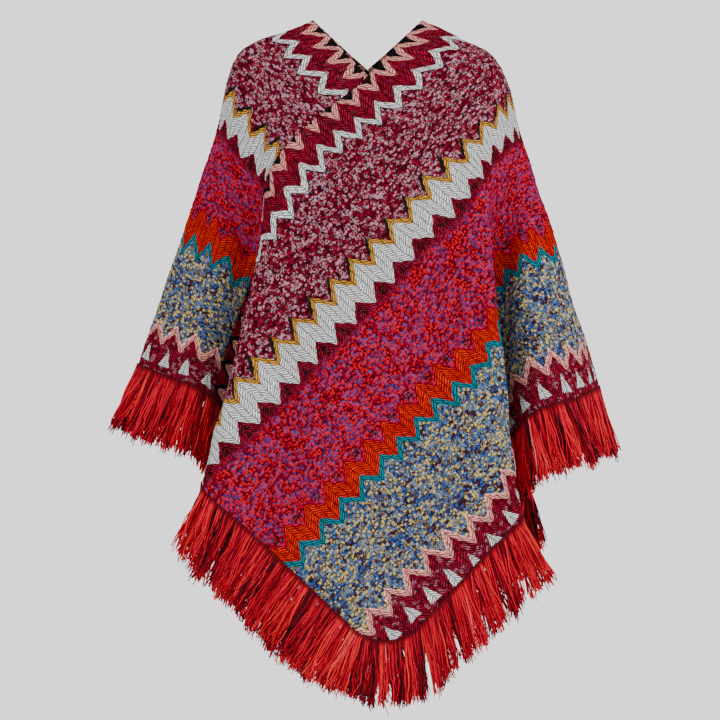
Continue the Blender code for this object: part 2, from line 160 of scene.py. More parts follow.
# Soft ridges (up) and troughs (down) of each panel, from one flat place to another
Crease = namedtuple("Crease", "along across end_along end_across width height bow")
CREASES = {
    "front": (
        Crease(-0.060, 0.150, -0.420, 0.520, 0.030, -0.0067, 0.014),
        Crease(0.020, 0.190, -0.250, 0.600, 0.034, 0.0075, -0.012),
        Crease(-0.260, 0.170, -0.560, 0.420, 0.040, 0.0060, 0.010),
        Crease(-0.200, 0.060, -0.480, 0.280, 0.022, -0.0053, -0.008),
        Crease(0.080, 0.290, -0.170, 0.600, 0.022, -0.0067, 0.006),
        Crease(0.120, 0.250, 0.060, 0.600, 0.024, 0.0060, 0.010),
        Crease(0.170, 0.260, 0.190, 0.600, 0.020, -0.0053, -0.008),
        Crease(0.200, 0.150, 0.270, 0.520, 0.026, 0.0060, 0.006),
    ),
    "back": (
        Crease(-0.040, 0.170, -0.360, 0.560, 0.032, 0.0067, -0.012),
        Crease(-0.120, 0.120, -0.500, 0.440, 0.028, -0.0067, 0.010),
        Crease(-0.300, 0.160, -0.590, 0.350, 0.036, 0.0053, 0.008),
        Crease(0.040, 0.260, -0.200, 0.590, 0.024, -0.0075, -0.010),
        Crease(-0.160, 0.040, -0.380, 0.200, 0.020, 0.0045, 0.006),
        Crease(0.110, 0.280, 0.090, 0.600, 0.022, 0.0053, 0.008),
        Crease(0.180, 0.230, 0.220, 0.600, 0.022, -0.0053, 0.006),
        Crease(0.210, 0.160, 0.280, 0.480, 0.026, 0.0053, -0.006),
    ),
}
CREASE_FULLNESS = 0.7
# Smaller unevenness: broad waves of the cloth and nubs of the knitting
LIMP_HEIGHT = 0.0014
LIMP_SIZE = 0.110
NUB_HEIGHT = 0.0006
NUB_SIZE = 0.012
NUB_SEED = 3
# Creases fade out this near to the neck and the seams
EDGE_FADE = 0.030

# The fringe: its length, and how far it stands out from hanging plumb at shares of each hem
FRINGE_LENGTH = 0.094
FRINGE_LEAN = {
    "long": (
        (0.00, 0.15),
        (0.15, 0.35),
        (0.30, 0.55),
        (0.40, 0.20),
        (0.54, 0.15),
        (0.64, 0.85),
        (0.84, 1.10),
        (0.95, 0.80),
        (1.00, 0.40),
    ),
    "end": (
        (0.00, 0.15),
        (0.12, 0.70),
        (0.40, 0.80),
        (0.50, 0.55),
        (0.62, 0.35),
        (0.72, 0.25),
        (0.90, 0.15),
        (1.00, 0.40),
    ),
}
FRINGE_THICKNESS = 0.005
# The locks: their pitch, how far off their place each is as a share of it, how they turn aside, and
# how their lengths and the yarns' vary
LOCK_PITCH = 0.0115
LOCK_SHIFT = 0.18
LOCK_TURN = 0.06
LOCK_LENGTH_SPREAD = 0.004
YARN_LENGTH_SPREAD = 0.005
# How far the yarns of a lock draw together at shares of their length
GATHER = ((0.0, 0.0), (0.12, 0.22), (0.35, 0.32), (0.7, 0.34), (1.0, 0.30))
# The yarns: each starts a little inside the hem and stops short of the hem's ends
YARNS_PER_LOCK = 36
YARN_RINGS = 8
YARN_RADIUS = 0.0013
YARN_TAPER = ((0.0, 1.2), (0.1, 1.0), (1.0, 0.6))
YARN_ROOT = 0.002
HEM_MARGIN = 0.001
# How they fan out and wave
YARN_SPREAD = 0.0042
SPREAD_POWER = 1.5
SPREAD_LIMIT = 1.8
YARN_WAVE = 0.006
WAVE_TURNS = (0.6, 1.6)
WAVE_SHARES = (0.3, 1.0)
# How much of the yarns' spread along the hem they also have out from the cloth
SIDEWAYS_SHARE = 0.4
SIDES = (0.0, math.pi * 2 / 3, math.pi * 4 / 3)
# How much of a yarn's tint is its lock's
LOCK_TINT = 0.35

# Zigzags, in millimetres along the cut: an upper tip, and the period before it and after it
NECK_ZIGZAG = (-127.0, 41.0, 34.4)
GOLD_ZIGZAG = (-96.0, 40.0, 34.0)
TEAL_ZIGZAG = (-391.0, 42.2, 35.5)
HEM_ZIGZAG = (-371.0, 38.8, 38.0)
# Lines across the cut, in millimetres: where the upper tips are, how much lower the lower tips are,
# and half the width of the line's own colour
Line = namedtuple("Line", "upper drop half_width")
PINK_LINE = Line(-2, 23, 6.5)
WHITE_LINE = Line(39, 22, 5.8)
GOLD_LINE = Line(170, 26, 5.0)
WHITE_BAND_END = Line(213, 24, None)
ORANGE_START = Line(358, 24, None)
TEAL_LINE = Line(393, 22, 5.5)
HEM_LINE = Line(530, 26, 6.5)
# The white line's black outline: how far below the line its middle is, and its half width
OUTLINE_DROP = 1.5
OUTLINE_HALF_WIDTH = 6.5
# On the sleeves the orange band is taller: where that begins along the cut and over what distance,
# how much higher the band starts, and how much deeper the zigzags of its start and end are
SLEEVE_START = 90
SLEEVE_BLEND = 70
SLEEVE_RISE = 9
SLEEVE_START_DROP = 5
SLEEVE_TEAL_DROP = 8
# Where black stops above the pink line. At the neck it fills the space above, and past the V, where
# it fades out along the cut, only a strip is black.
BLACK_ABOVE_PINK = 4
BLACK_STRIP = 15
NECK_BLACK_END = -12
NECK_BLACK_FADE = 20
# Where other colours start and stop before or after the middles of the lines
MARL_MARGIN = 5
BLACK_ABOVE_GOLD = 13
WHITE_BELOW_GOLD = 3
GOLD_MARGIN = 7
MARL_STOP = 3
CRIMSON_ABOVE_ORANGE = 5
FLECKS_BELOW_HEM_LINE = 6
# The red marl starts along a straight line and fades in
RED_MARL_START = 243
RED_MARL_FADE = 10
# The rows at which the stitches' arms change from one zigzag to the next
ARM_CHANGES = (120, 300, 480)
# Black flecks at the tips: the share of half a period that they take, the row and its half height
Flecks = namedtuple("Flecks", "share row half_height")
WHITE_TIP_FLECKS = Flecks(0.17, 231, 7)
ORANGE_TIP_FLECKS = Flecks(0.14, 363, 5)
# Black lies above the falling arms of the gold line: where in a period it starts and ends, and how
# softly
BLACK_ARM_START = 0.55
BLACK_ARM_START_SOFTNESS = 0.1
BLACK_ARM_END = 0.98
BLACK_ARM_END_SOFTNESS = 0.05
# White triangles in the hem: the row of the tips, the row of the bases, and how the sides slope
TRIANGLE_TIPS = 562
TRIANGLE_BASES = 588
TRIANGLE_SLOPE = 95
# How soft an edge between two colours is
SOFT_EDGE = 1.2
# Hand knitting wanders: the size of the waves in metres, and their reach in millimetres
WANDER_ALONG = (0.021, 7)
WANDER_ACROSS = (0.013, 6)
WANDER_GRAINS = (0.005, 3.5)
# The cloth sags in front of the arm: the middle and width of that stretch, taken on the slant, the
# row where it starts, over what distance it grows, and how far it goes
Sag = namedtuple("Sag", "middle width row growth reach")
SAG = Sag(192, 62, 60, 80, 18)
# The seam takes up some of the panel's edge in a swell, and beyond it the edge comes back
SWELL_MIDDLE = -120
SWELL_WIDTH = 60
SWELL_REACH = 10
RETURN_START = -195
RETURN_LENGTH = 50
RETURN_REACH = 12
# Knit stitches: their height in millimetres, the gaps about them as shares of a row and of an arm of
# a zigzag, and how far a row runs across the panel along one arm
STITCH_HEIGHT = 3.9
STITCH_GAP = 0.34
ARM_GAP = 0.055
STITCH_SLOPE = 15.0
# Worn stitches have shallower gaps: the size of the patches in metres, and the noise's floor and gain
WORN_SIZE = 0.004
WORN_FLOOR = 0.1
WORN_GAIN = 2.4
# Cells that give a stitch and a grain of marl their tints: width, height and disorder
STITCH_CELLS = (5.0, 4.0, 0.6)
GRAIN_CELLS = (4.7, 3.9, 0.9)
# A grain's ring of a second colour starts this far from its middle, and noise breaks it
RING_START = 0.38
RING_SOFTNESS = 0.12
RING_BREAK_SIZE = 0.0032
RING_BREAK = 0.44
RING_BREAK_SOFTNESS = 0.14
# Gaps between grains, dark with painted shade: where they start, how fast they deepen, and how deep they
# are
GRAIN_GAP_START = 0.46
GRAIN_GAP_GAIN = 5
GRAIN_GAP_DEPTH = 0.6
# Clouds of one tint in the marl, and the ragged edges of the black flecks
CLOUD_SIZE = 0.030
CLOUD_DETAIL = 2.0
RAGGED_SIZE = 0.0030
RAGGED_LEVEL = 0.50
RAGGED_SOFTNESS = 0.06
# Painted shade in the gaps: how strongly it darkens, and its colour
GAP_SHADE_STRENGTH = 0.9
GAP_SHADE_COLOR = (34, 20, 28)
BUMP_HEIGHT = 0.003

# Colours as eight-bit display values; a list gives the share of the grains below each colour
PINK = (238, 156, 147)
WHITE = (229, 229, 229)
BLACK = (30, 26, 28)
GOLD = (201, 143, 58)
TEAL = (0, 124, 140)
MAROONS = ((0.0, (104, 16, 34)), (0.25, (132, 22, 42)), (0.6, (146, 22, 48)), (0.9, (120, 38, 58)))
WINE_DOTS = ((0.0, (101, 7, 26)), (0.45, (120, 16, 38)), (0.65, (66, 7, 25)), (0.82, (159, 104, 121)))
WINE_RINGS = ((0.0, (63, 6, 20)), (0.28, (114, 36, 57)), (0.45, (179, 150, 162)), (0.80, (44, 13, 25)))
RED_DOTS = ((0.0, (176, 15, 26)), (0.50, (150, 10, 28)), (0.80, (112, 8, 34)))
RED_RINGS = ((0.0, (100, 8, 28)), (0.38, (74, 10, 40)), (0.55, (92, 78, 150)), (0.86, (62, 44, 110)))
BLUE_DOTS = ((0.0, (41, 75, 130)), (0.34, (57, 27, 44)), (0.58, (173, 152, 94)), (0.84, (71, 106, 144)))
BLUE_RINGS = ((0.0, (51, 27, 38)), (0.30, (182, 165, 113)), (0.62, (53, 75, 113)), (0.84, (132, 125, 96)))
PALE_FLECK = (170, 110, 126)
PALE_FLECK_LIMIT = 0.84
PALE_FLECK_SOFTNESS = 0.05
PALE_FLECK_STRENGTH = 0.7
CRIMSONS = ((0.0, (150, 12, 40)), (0.35, (179, 20, 60)), (0.7, (160, 10, 44)))
ORANGES = ((0.0, (191, 16, 2)), (0.25, (211, 27, 0)), (0.6, (221, 36, 8)), (0.9, (181, 15, 8)))
# Reds of the yarns by tint: the darkest stops are partly dark yarns and partly painted shade, and the pale
# pink top stop is a painted highlight
YARN_REDS_WITH_PAINTED_LIGHT = (
    (0.0, (40, 10, 18)),
    (0.22, (108, 8, 24)),
    (0.40, (166, 10, 34)),
    (0.60, (202, 18, 42)),
    (0.82, (226, 46, 42)),
    (0.95, (232, 98, 100)),
)
# Painted shade at the roots of the yarns
YARN_ROOT_SHADE_COLOR = (80, 12, 20)
# The share of a yarn's length that is painted dark at its root as shade under the hem, and how soft that
# ends
YARN_ROOT_SHADE_SHARE = 0.055
YARN_ROOT_SHADE_SOFTNESS = 0.08

# Roughness and shine
KNIT_SURFACE = (1.0, 0.0)
YARN_SURFACE = (0.9, 0.08)

# The studio and the camera
FLOOR_Z = -1.42
FLOOR_RADIUS = 5.5
FLOOR_SIDES = 64
FLOOR_COLOR = (0.8, 0.8, 0.8, 1)
FLOOR_SURFACE = (1.0, 0.0)
WORLD_COLOR = (1, 1, 1, 1)
WORLD_STRENGTH = 1.6
Lamp = namedtuple("Lamp", "name place aim size power")
LAMPS = (
    Lamp("key", (4.0, -2.9, 1.8), (0, 0, -0.4), 1.8, 120),
    Lamp("fill", (0.6, -4.2, 0.4), (0, 0, -0.5), 2.5, 12),
    Lamp("back", (-1.0, 4.0, 1.4), (0, 0, -0.5), 2.5, 50),
)
CAMERA_DISTANCE = 8.0
CAMERA_X = -0.011
CAMERA_Z = -0.4945
CAMERA_LENS = 274


def hermite(start, end, start_slope, end_slope, t):
    """Point at t of the cubic from start to end with these slopes."""
    chord = end - start
    return (
        start
        + t * start_slope
        + t**2 * (3 * chord - 2 * start_slope - end_slope)
        + t**3 * (start_slope + end_slope - 2 * chord)
    )


def distance(a, b):
    """Distance between points, with the last axis kept."""
    return np.maximum(np.linalg.norm(b - a, axis=-1, keepdims=True), 1e-6)


def span(before, start, end, after, t):
    """Point at t between start and end, with slopes that suit uneven distances."""
    gap = distance(start, end)
    start_slope = (end - before) / (gap + distance(before, start)) * gap
    end_slope = (after - start) / (gap + distance(end, after)) * gap
    return hermite(start, end, start_slope, end_slope, t)


def ridge_curve(side):
    """Fine points down one arm ridge, as (x, z), and the cloth length to each, scaled to the cut."""
    stations = np.array([(s.x, s.z) for s in ARM_RIDGE[side]])
    padded = np.concatenate([[2 * stations[0] - stations[1]], stations, [2 * stations[-1] - stations[-2]]])
    t = np.linspace(0, 1, RIDGE_POINTS)[:, None]
    runs = [span(*padded[i : i + 4], t)[(i > 0) :] for i in range(len(stations) - 1)]
    points = np.concatenate(runs)
    length = np.concatenate([[0], np.cumsum(np.linalg.norm(np.diff(points, axis=0), axis=1))])
    return points, length * PANEL_WIDTH / length[-1]


def ridge_points(side, values, key):
    """Points of the ridge where the cloth length ("across") or the height ("z") has these values."""
    points, length = ridge_curve(side)
    if key == "across":
        x = np.interp(values, length, points[:, 0])
        z = np.interp(values, length, points[:, 1])
    else:
        z = np.asarray(values, float)
        x = np.interp(-z, -points[:, 1], points[:, 0])
    y = NECK_SET_BACK * np.clip(1 - (x - NECK_HALF_WIDTH) / NECK_HALF_WIDTH, 0, 1)
    return np.stack([x, y, z], axis=-1)


def neck_points(face, share):
    """Points on the neck edge of one face: share 0 at the V and 1 at the side of the neck."""
    front = face == "front"
    depth = V_FRONT_DEPTH if front else V_BACK_DEPTH
    forward = V_FRONT_FORWARD if front else V_BACK_FORWARD
    end = NECK_SET_BACK if front else -NECK_SET_BACK
    x = NECK_HALF_WIDTH * share
    y = -forward + (forward + end) * share**NECK_ROUNDNESS
    z = -depth * (1 - share)
    return np.stack([x, y, z], axis=-1)


def neck_part(face):
    """Length of one panel's neck edge on this face."""
    return NECK_FRONT if face == "front" else NECK_EDGE - NECK_FRONT


def world_side(face, side):
    """The front's right is the back's left."""
    if face == "front":
        return side
    return "left" if side == "right" else "right"


def ridge_in_face(face, side, across):
    """Ridge points in the face's own frame, where the back's is turned half round."""
    ridge = ridge_points(world_side(face, side), across, "across")
    return ridge if face == "front" else ridge * np.array([1, -1, 1])


def quarter(face, side):
    """The fold table of a quarter as arrays, one row a fold, with the arm ridge as the last row."""
    folds = PLAIN_FOLDS if side == "right" else SEAM_FOLDS
    outer = world_side(face, side)
    part = neck_part(face)
    deep = 1.0 if face == "front" else BACK_DEPTH
    cuff_z = ARM_RIDGE[outer][-1].z
    # The tables are drawn for the front's neck edge, so the back's shorter one scales them.
    narrow = part / NECK_FRONT
    top = [(f.top_along * narrow, f.top_across) for f in folds]
    hem = [(f.hem_along * (narrow if f.hem_along > 0 else 1), PANEL_WIDTH) for f in folds]
    chest = [(f.chest_x, f.chest_y * deep, CHEST_Z) for f in folds]
    waist = [(f.waist_x, f.waist_y * deep, WAIST_Z) for f in folds]
    low = [(f.hem_x, f.hem_y * deep, f.hem_z + f.sleeve * (cuff_z - NOMINAL_CUFF_Z)) for f in folds]
    top.append((part, SHOULDER_LENGTH))
    hem.append((part, PANEL_WIDTH))
    chest.append(ridge_points(outer, CHEST_Z, "z"))
    waist.append(ridge_points(outer, WAIST_Z, "z"))
    low.append(ridge_points(outer, cuff_z, "z"))
    return [np.array(rows, float) for rows in (top, hem, chest, waist, low)]


def around(rows, place):
    """Value at place across the folds. The curve is level at the middle and square at the ridge."""
    first = 2 * rows[0] - rows[1]
    first[1] = rows[1][1]
    last = rows[-2] * np.array([1, -1, 1])
    padded = np.concatenate([[first], rows, [last]])
    index = np.clip(np.floor(place).astype(int), 0, len(rows) - 2)
    t = (place - index)[..., None]
    return span(padded[index], padded[index + 1], padded[index + 2], padded[index + 3], t)


def straight(rows, place):
    """Value at place on the straight runs between rows."""
    index = np.clip(np.floor(place).astype(int), 0, len(rows) - 2)
    t = (place - index)[..., None]
    return rows[index] * (1 - t) + rows[index + 1] * t


def fold_place(top, hem, along, across):
    """The fold line through each point of the flat cut, as a real number, and how far down it is."""
    low = np.zeros_like(along)
    high = np.full_like(along, len(top) - 1.0)
    for _ in range(HALVINGS):
        middle = (low + high) / 2
        start = straight(top, middle)
        run = straight(hem, middle) - start
        beyond = run[..., 0] * (across - start[..., 1]) - run[..., 1] * (along - start[..., 0]) < 0
        low = np.where(beyond, middle, low)
        high = np.where(beyond, high, middle)
    place = (low + high) / 2
    start = straight(top, place)
    run = straight(hem, place) - start
    way = (along - start[..., 0]) * run[..., 0] + (across - start[..., 1]) * run[..., 1]
    return place, np.clip(way / (run**2).sum(-1), 0, 1), start, run


def down_line(knots, start_direction, reach):
    """Point at reach, a share of the length, on the smooth curve through the knots."""
    stretches = [distance(knots[i], knots[i + 1])[..., 0] for i in range(len(knots) - 1)]
    ends = np.cumsum([np.zeros_like(reach), *stretches], axis=0)
    target = reach * ends[-1]
    last = 2 * knots[-1] - knots[-2]
    every = [*knots, last]
    found = knots[0]
    for i, stretch in enumerate(stretches):
        t = np.clip((target - ends[i]) / stretch, 0, 1)[..., None]
        gap = stretch[..., None]
        if i == 0:
            start_slope = start_direction * gap
        else:
            start_slope = (every[i + 1] - every[i - 1]) / (gap + distance(every[i - 1], every[i])) * gap
        end_slope = (every[i + 2] - every[i]) / (gap + distance(every[i + 1], every[i + 2])) * gap
        point = hermite(every[i], every[i + 1], start_slope, end_slope, t)
        found = np.where((target >= ends[i])[..., None], point, found)
    return found


def quarter_points(face, side, along, across):
    """Points of the middle surface of a quarter, in its face's own frame with x outward."""
    top, hem, chest, waist, low = quarter(face, side)
    place, reach, start, run = fold_place(top, hem, along, across)
    part = neck_part(face)
    neck_share = np.clip(start[..., 0] / part, 0, 1)
    down_ridge = start[..., 1]
    on_ridge = down_ridge > 0
    first = np.where(
        on_ridge[..., None], ridge_in_face(face, side, down_ridge), neck_points(face, neck_share)
    )
    second = around(chest, place)
    # From the ridge the cloth leaves at the angle that it has in the flat cut.
    direction = run / distance(run * 0, run)
    reach_out = (ROLL_LENGTH * distance(first, second))[..., 0]
    ahead = ridge_in_face(face, side, down_ridge + ROLL_ALONG * reach_out * direction[..., 1])
    outward = -reach_out * direction[..., 0]
    sunk = np.stack([0 * outward, -ROLL_OUT * outward, -ROLL_DOWN * outward], axis=-1)
    tangent = ridge_in_face(face, side, down_ridge + RIDGE_STEP)
    tangent = tangent - ridge_in_face(face, side, down_ridge)
    tangent = tangent / distance(tangent * 0, tangent) * direction[..., 1:]
    tangent[..., 1] += direction[..., 0]
    # From the V it runs straight down, and between the two it turns from the one to the other.
    plain_roll = first + (second - first) * np.array(PLAIN_ROLL)
    plain_tangent = (plain_roll - first) / distance(first, plain_roll)
    turn = (neck_share**2)[..., None]
    roll = plain_roll * (1 - turn) + (ahead + sunk) * turn
    leaving = plain_tangent * (1 - turn) + tangent * turn
    knots = [first, roll, second, around(waist, place), around(low, place)]
    return down_line(knots, leaving, reach)


def sharp_points(face, along, across):
    """Points of one face of the garment, for places in its flat square measured from the V."""
    right = along + across >= 0
    quarter_along = np.where(right, along, -across)
    quarter_across = np.where(right, across, -along)
    plain = quarter_points(face, "right", quarter_along, quarter_across)
    sewn = quarter_points(face, "left", quarter_along, quarter_across) * np.array([-1, 1, 1])
    points = np.where(right[..., None], plain, sewn)
    return points if face == "front" else points * np.array([-1, -1, 1])


def face_points(face, along, across):
    """Points of one face with its folds rounded, as a mean over a small cross of places."""
    part = neck_part(face)
    other_part = NECK_EDGE - part
    inside_along = np.maximum(-along, np.minimum(across, part - along))
    inside_across = np.maximum(across, np.minimum(-along, other_part + across))
    reach_along = np.clip(np.minimum(along - SHORT_END, inside_along), 0, FOLD_SOFTNESS)
    reach_across = np.clip(np.minimum(PANEL_WIDTH - across, inside_across), 0, FOLD_SOFTNESS)
    total = sharp_points(face, along, across)
    weights = 1.0
    for share, weight in ROUNDING:
        for sign in (-1, 1):
            total = total + weight * sharp_points(face, along + sign * share * reach_along, across)
            total = total + weight * sharp_points(face, along, across + sign * share * reach_across)
        weights += 4 * weight
    return total / weights


def panel_points(face, along, across):
    """Points of a panel's middle surface. Past the ridge of the arm it lies on the other face."""
    other = "back" if face == "front" else "front"
    here = along <= neck_part(face)
    near = face_points(face, np.where(here, along, 0), np.where(here, across, 0))
    beyond = face_points(other, np.where(here, 0, -across), np.where(here, 0, along - NECK_EDGE))
    return np.where(here[..., None], near, beyond)


def rounded(along, across):
    """The flat place of a grid point once the panel's hanging corner is rounded."""
    a = np.clip((SHORT_END + CORNER_RADIUS - along) / CORNER_RADIUS, 0, 1)
    b = np.clip((across - PANEL_WIDTH + CORNER_RADIUS) / CORNER_RADIUS, 0, 1)
    inside = (a > 0) & (b > 0)
    round_along = SHORT_END + CORNER_RADIUS - CORNER_RADIUS * a * np.sqrt(1 - b**2 / 2)
    round_across = PANEL_WIDTH - CORNER_RADIUS + CORNER_RADIUS * b * np.sqrt(1 - a**2 / 2)
    return np.where(inside, round_along, along), np.where(inside, round_across, across)


def smooth_noise(points, size, seed):
    """Soft noise from -1 to 1 at flat places, with bumps of about this size in metres."""
    generator = np.random.default_rng(seed)
    total = np.zeros(points.shape[:-1])
    for _ in range(NOISE_WAVES):
        angle = generator.uniform(0, 2 * math.pi)
        wave = generator.uniform(*NOISE_RATES) / size
        phase = generator.uniform(0, 2 * math.pi)
        way = points[..., 0] * math.cos(angle) + points[..., 1] * math.sin(angle)
        total += np.sin(2 * math.pi * wave * way + phase)
    return total / math.sqrt(NOISE_WAVES / 2) / NOISE_LIMIT


def flat_grid(face):
    """A panel's fine grid in its flat cut."""
    along = np.concatenate(
        [
            np.linspace(SHORT_END, 0, GRID_HEM + 1)[:-1],
            np.linspace(0, neck_part(face), GRID_NECK + 1)[:-1],
            np.linspace(neck_part(face), NECK_EDGE - SEAM_GAP / 2, GRID_NECK + 1),
        ]
    )
    across = np.linspace(0, PANEL_WIDTH, GRID_HEM + 1)
    along, across = np.meshgrid(along, across, indexing="ij")
    on_seam = (across == 0) & (along <= 0)
    across = np.where(on_seam, SEAM_GAP / 2, across)
    return rounded(along, across)


def unit(vectors):
    """Vectors made one long."""
    return vectors / np.maximum(np.linalg.norm(vectors, axis=-1, keepdims=True), 1e-9)


def grid_normals(points):
    """Unit normals, facing out, of a panel's grid of points."""
    down = np.gradient(points, axis=1)
    side = np.gradient(points, axis=0)
    return unit(np.cross(down, side))


def creases(face, along, across):
    """Height of the soft ridges and troughs of a panel, fading out at the neck and the seams."""
    height = np.zeros_like(along)
    for crease in CREASES[face]:
        start = np.array([crease.along, crease.across])
        run = np.array([crease.end_along, crease.end_across]) - start
        length = np.linalg.norm(run)
        way = np.stack([along, across], axis=-1) - start
        down = (way @ run) / length**2
        bend = crease.bow * np.sin(np.clip(down, 0, 1) * math.pi)
        aside = (way[..., 0] * run[1] - way[..., 1] * run[0]) / length - bend
        swell = np.sin(np.clip(down, 0, 1) * math.pi) ** CREASE_FULLNESS
        height += crease.height * swell * np.exp(-((aside / crease.width) ** 2))
    height += LIMP_HEIGHT * smooth_noise(np.stack([along, across], axis=-1), LIMP_SIZE, len(face))
    edge = np.minimum(across, NECK_EDGE - along)
    return height * np.clip(edge / EDGE_FADE, 0, 1)


def add_object(name, data):
    """A new object in the scene."""
    thing = bpy.data.objects.new(name, data)
    bpy.context.scene.collection.objects.link(thing)
    return thing


def shell(face):
    """One knitted panel as a closed thin wall that knows its place in the flat cut."""
    along, across = flat_grid(face)
    middle = panel_points(face, along, across)
    middle = middle + grid_normals(middle) * creases(face, along, across)[..., None]
    normals = grid_normals(middle)
    flat = np.stack([along, across, 0 * along], axis=-1)
    nubs = NUB_HEIGHT * smooth_noise(flat, NUB_SIZE, NUB_SEED + len(face))[..., None]
    outer = middle + normals * (CLOTH / 2 + nubs)
    inner = middle - normals * (CLOTH / 2)
    rows, columns = along.shape
    count = rows * columns
    index = np.arange(count).reshape(rows, columns)
    corners = (index[:-1, :-1], index[:-1, 1:], index[1:, 1:], index[1:, :-1])
    quads = np.stack(corners, axis=-1).reshape(-1, 4)
    rim = np.concatenate([index[:, 0], index[-1, 1:], index[-2::-1, -1], index[0, -2:0:-1]])
    after = np.roll(rim, -1)
    walls = np.stack([rim, after, after + count, rim + count], axis=-1)
    faces = np.concatenate([quads, quads[:, ::-1] + count, walls])
    points = np.concatenate([outer.reshape(-1, 3), inner.reshape(-1, 3)])
    mesh = bpy.data.meshes.new(f"{face}_knit")
    mesh.from_pydata(points.tolist(), [], faces.tolist())
    place = mesh.attributes.new("flat", "FLOAT_VECTOR", "POINT")
    place.data.foreach_set("vector", np.tile(flat.reshape(-1, 3), (2, 1)).ravel())
    mesh.shade_smooth()
    hems = {
        "long": (middle[:, -1], normals[:, -1]),
        "end": (middle[0, ::-1], normals[0, ::-1]),
    }
    return add_object(f"{face}_knit", mesh), hems


def spread(generator, shape):
    """Random numbers about 0, none of them far out."""
    return np.clip(generator.normal(0, 1, shape), -SPREAD_LIMIT, SPREAD_LIMIT)


def tubes(name, axis, radius, spin, across, third):
    """A mesh of three-sided tubes, one along each row of axis points and turned by its spin."""
    sides = [axis + radius * (np.cos(spin + a) * across + np.sin(spin + a) * third) for a in SIDES]
    verts = np.stack(sides, axis=2).reshape(-1, 3)
    count = len(axis)
    index = np.arange(count * YARN_RINGS * 3).reshape(count, YARN_RINGS, 3)
    after = np.roll(index, -1, axis=2)
    corners = (index[:, :-1], after[:, :-1], after[:, 1:], index[:, 1:])
    walls = np.stack(corners, axis=-1).reshape(-1, 4)
    faces = walls.tolist() + index[:, -1].tolist() + index[:, 0, ::-1].tolist()
    mesh = bpy.data.meshes.new(name)
    mesh.from_pydata(verts.tolist(), [], faces)
    return mesh


def fringe(face, edge, hem, seed):
    """The yarns of one fringe, in locks, as thin tubes."""
    generator = np.random.default_rng(seed)
    points, normals = hem
    run = np.gradient(points, axis=0)
    outward = unit(np.cross(run * (1 if edge == "long" else -1), normals))
    steps = np.linalg.norm(np.diff(points, axis=0), axis=1)
    length = np.concatenate([[0], np.cumsum(steps)])
    locks = int(length[-1] / LOCK_PITCH)
    lock = np.repeat(np.arange(locks), YARNS_PER_LOCK)
    count = len(lock)
    pitch = length[-1] / locks
    centre = (np.arange(locks) + 0.5 + generator.uniform(-LOCK_SHIFT, LOCK_SHIFT, locks)) * pitch
    aside = generator.uniform(-0.5, 0.5, count) * pitch
    root = np.clip(centre[lock] + aside, HEM_MARGIN, length[-1] - HEM_MARGIN)

    def at_root(rows):
        return np.stack([np.interp(root, length, rows[:, i]) for i in range(3)], axis=-1)

    # The way that each yarn hangs
    lean = np.interp(root / length[-1], *zip(*FRINGE_LEAN[edge]))[:, None]
    out = at_root(outward)
    way = unit(out) * lean + np.array([0, 0, -1.0]) * (1 - lean)
    tangent = unit(at_root(run))
    normal = unit(at_root(normals))
    lock_turn = spread(generator, locks)[lock][:, None] * LOCK_TURN
    lock_out = spread(generator, locks)[lock][:, None] * LOCK_TURN * SIDEWAYS_SHARE
    way = unit(unit(way) + tangent * lock_turn + normal * lock_out)
    # Its line, from the hem to the tip
    reach = FRINGE_LENGTH + generator.normal(0, LOCK_LENGTH_SPREAD, locks)[lock]
    reach = reach + generator.normal(0, YARN_LENGTH_SPREAD, count)
    share = np.linspace(0, 1, YARN_RINGS)
    down = share * reach[:, None]
    sideways = -(root - centre[lock])[:, None] * np.interp(share, *zip(*GATHER))
    fan = spread(generator, (2, count))[..., None] * share**SPREAD_POWER * YARN_SPREAD
    bend = generator.uniform(0, 2 * math.pi, (2, count))[..., None]
    turns = generator.uniform(*WAVE_TURNS, (2, count))[..., None]
    sway = np.sin(bend + turns * share * 2 * math.pi) - np.sin(bend)
    sway = sway * share * YARN_WAVE * generator.uniform(*WAVE_SHARES, (2, count))[..., None]
    thick = generator.uniform(-0.5, 0.5, count)[:, None] * FRINGE_THICKNESS
    axis = at_root(points) - unit(out) * YARN_ROOT
    axis = axis[:, None] + way[:, None] * down[..., None]
    axis = axis + tangent[:, None] * (sideways + fan[0] + sway[0])[..., None]
    axis = axis + normal[:, None] * (thick + (fan[1] + sway[1]) * SIDEWAYS_SHARE)[..., None]
    across = unit(np.cross(way, normal))[:, None]
    third = unit(np.cross(way, across[:, 0]))[:, None]
    radius = YARN_RADIUS * np.interp(share, *zip(*YARN_TAPER))[:, None]
    spin = generator.uniform(0, 2 * math.pi, count)[:, None, None]
    name = f"{face}_{edge}_yarns"
    mesh = tubes(name, axis, radius, spin, across, third)
    lock_tint = generator.uniform(0, 1, locks)[lock]
    tint = LOCK_TINT * lock_tint + (1 - LOCK_TINT) * generator.uniform(0, 1, count)
    for label, values in (("tint", np.repeat(tint, YARN_RINGS)), ("down", np.tile(share, count))):
        layer = mesh.attributes.new(label, "FLOAT", "POINT")
        layer.data.foreach_set("value", np.repeat(values, 3).astype(np.float32))
    mesh.shade_smooth()
    return add_object(name, mesh)


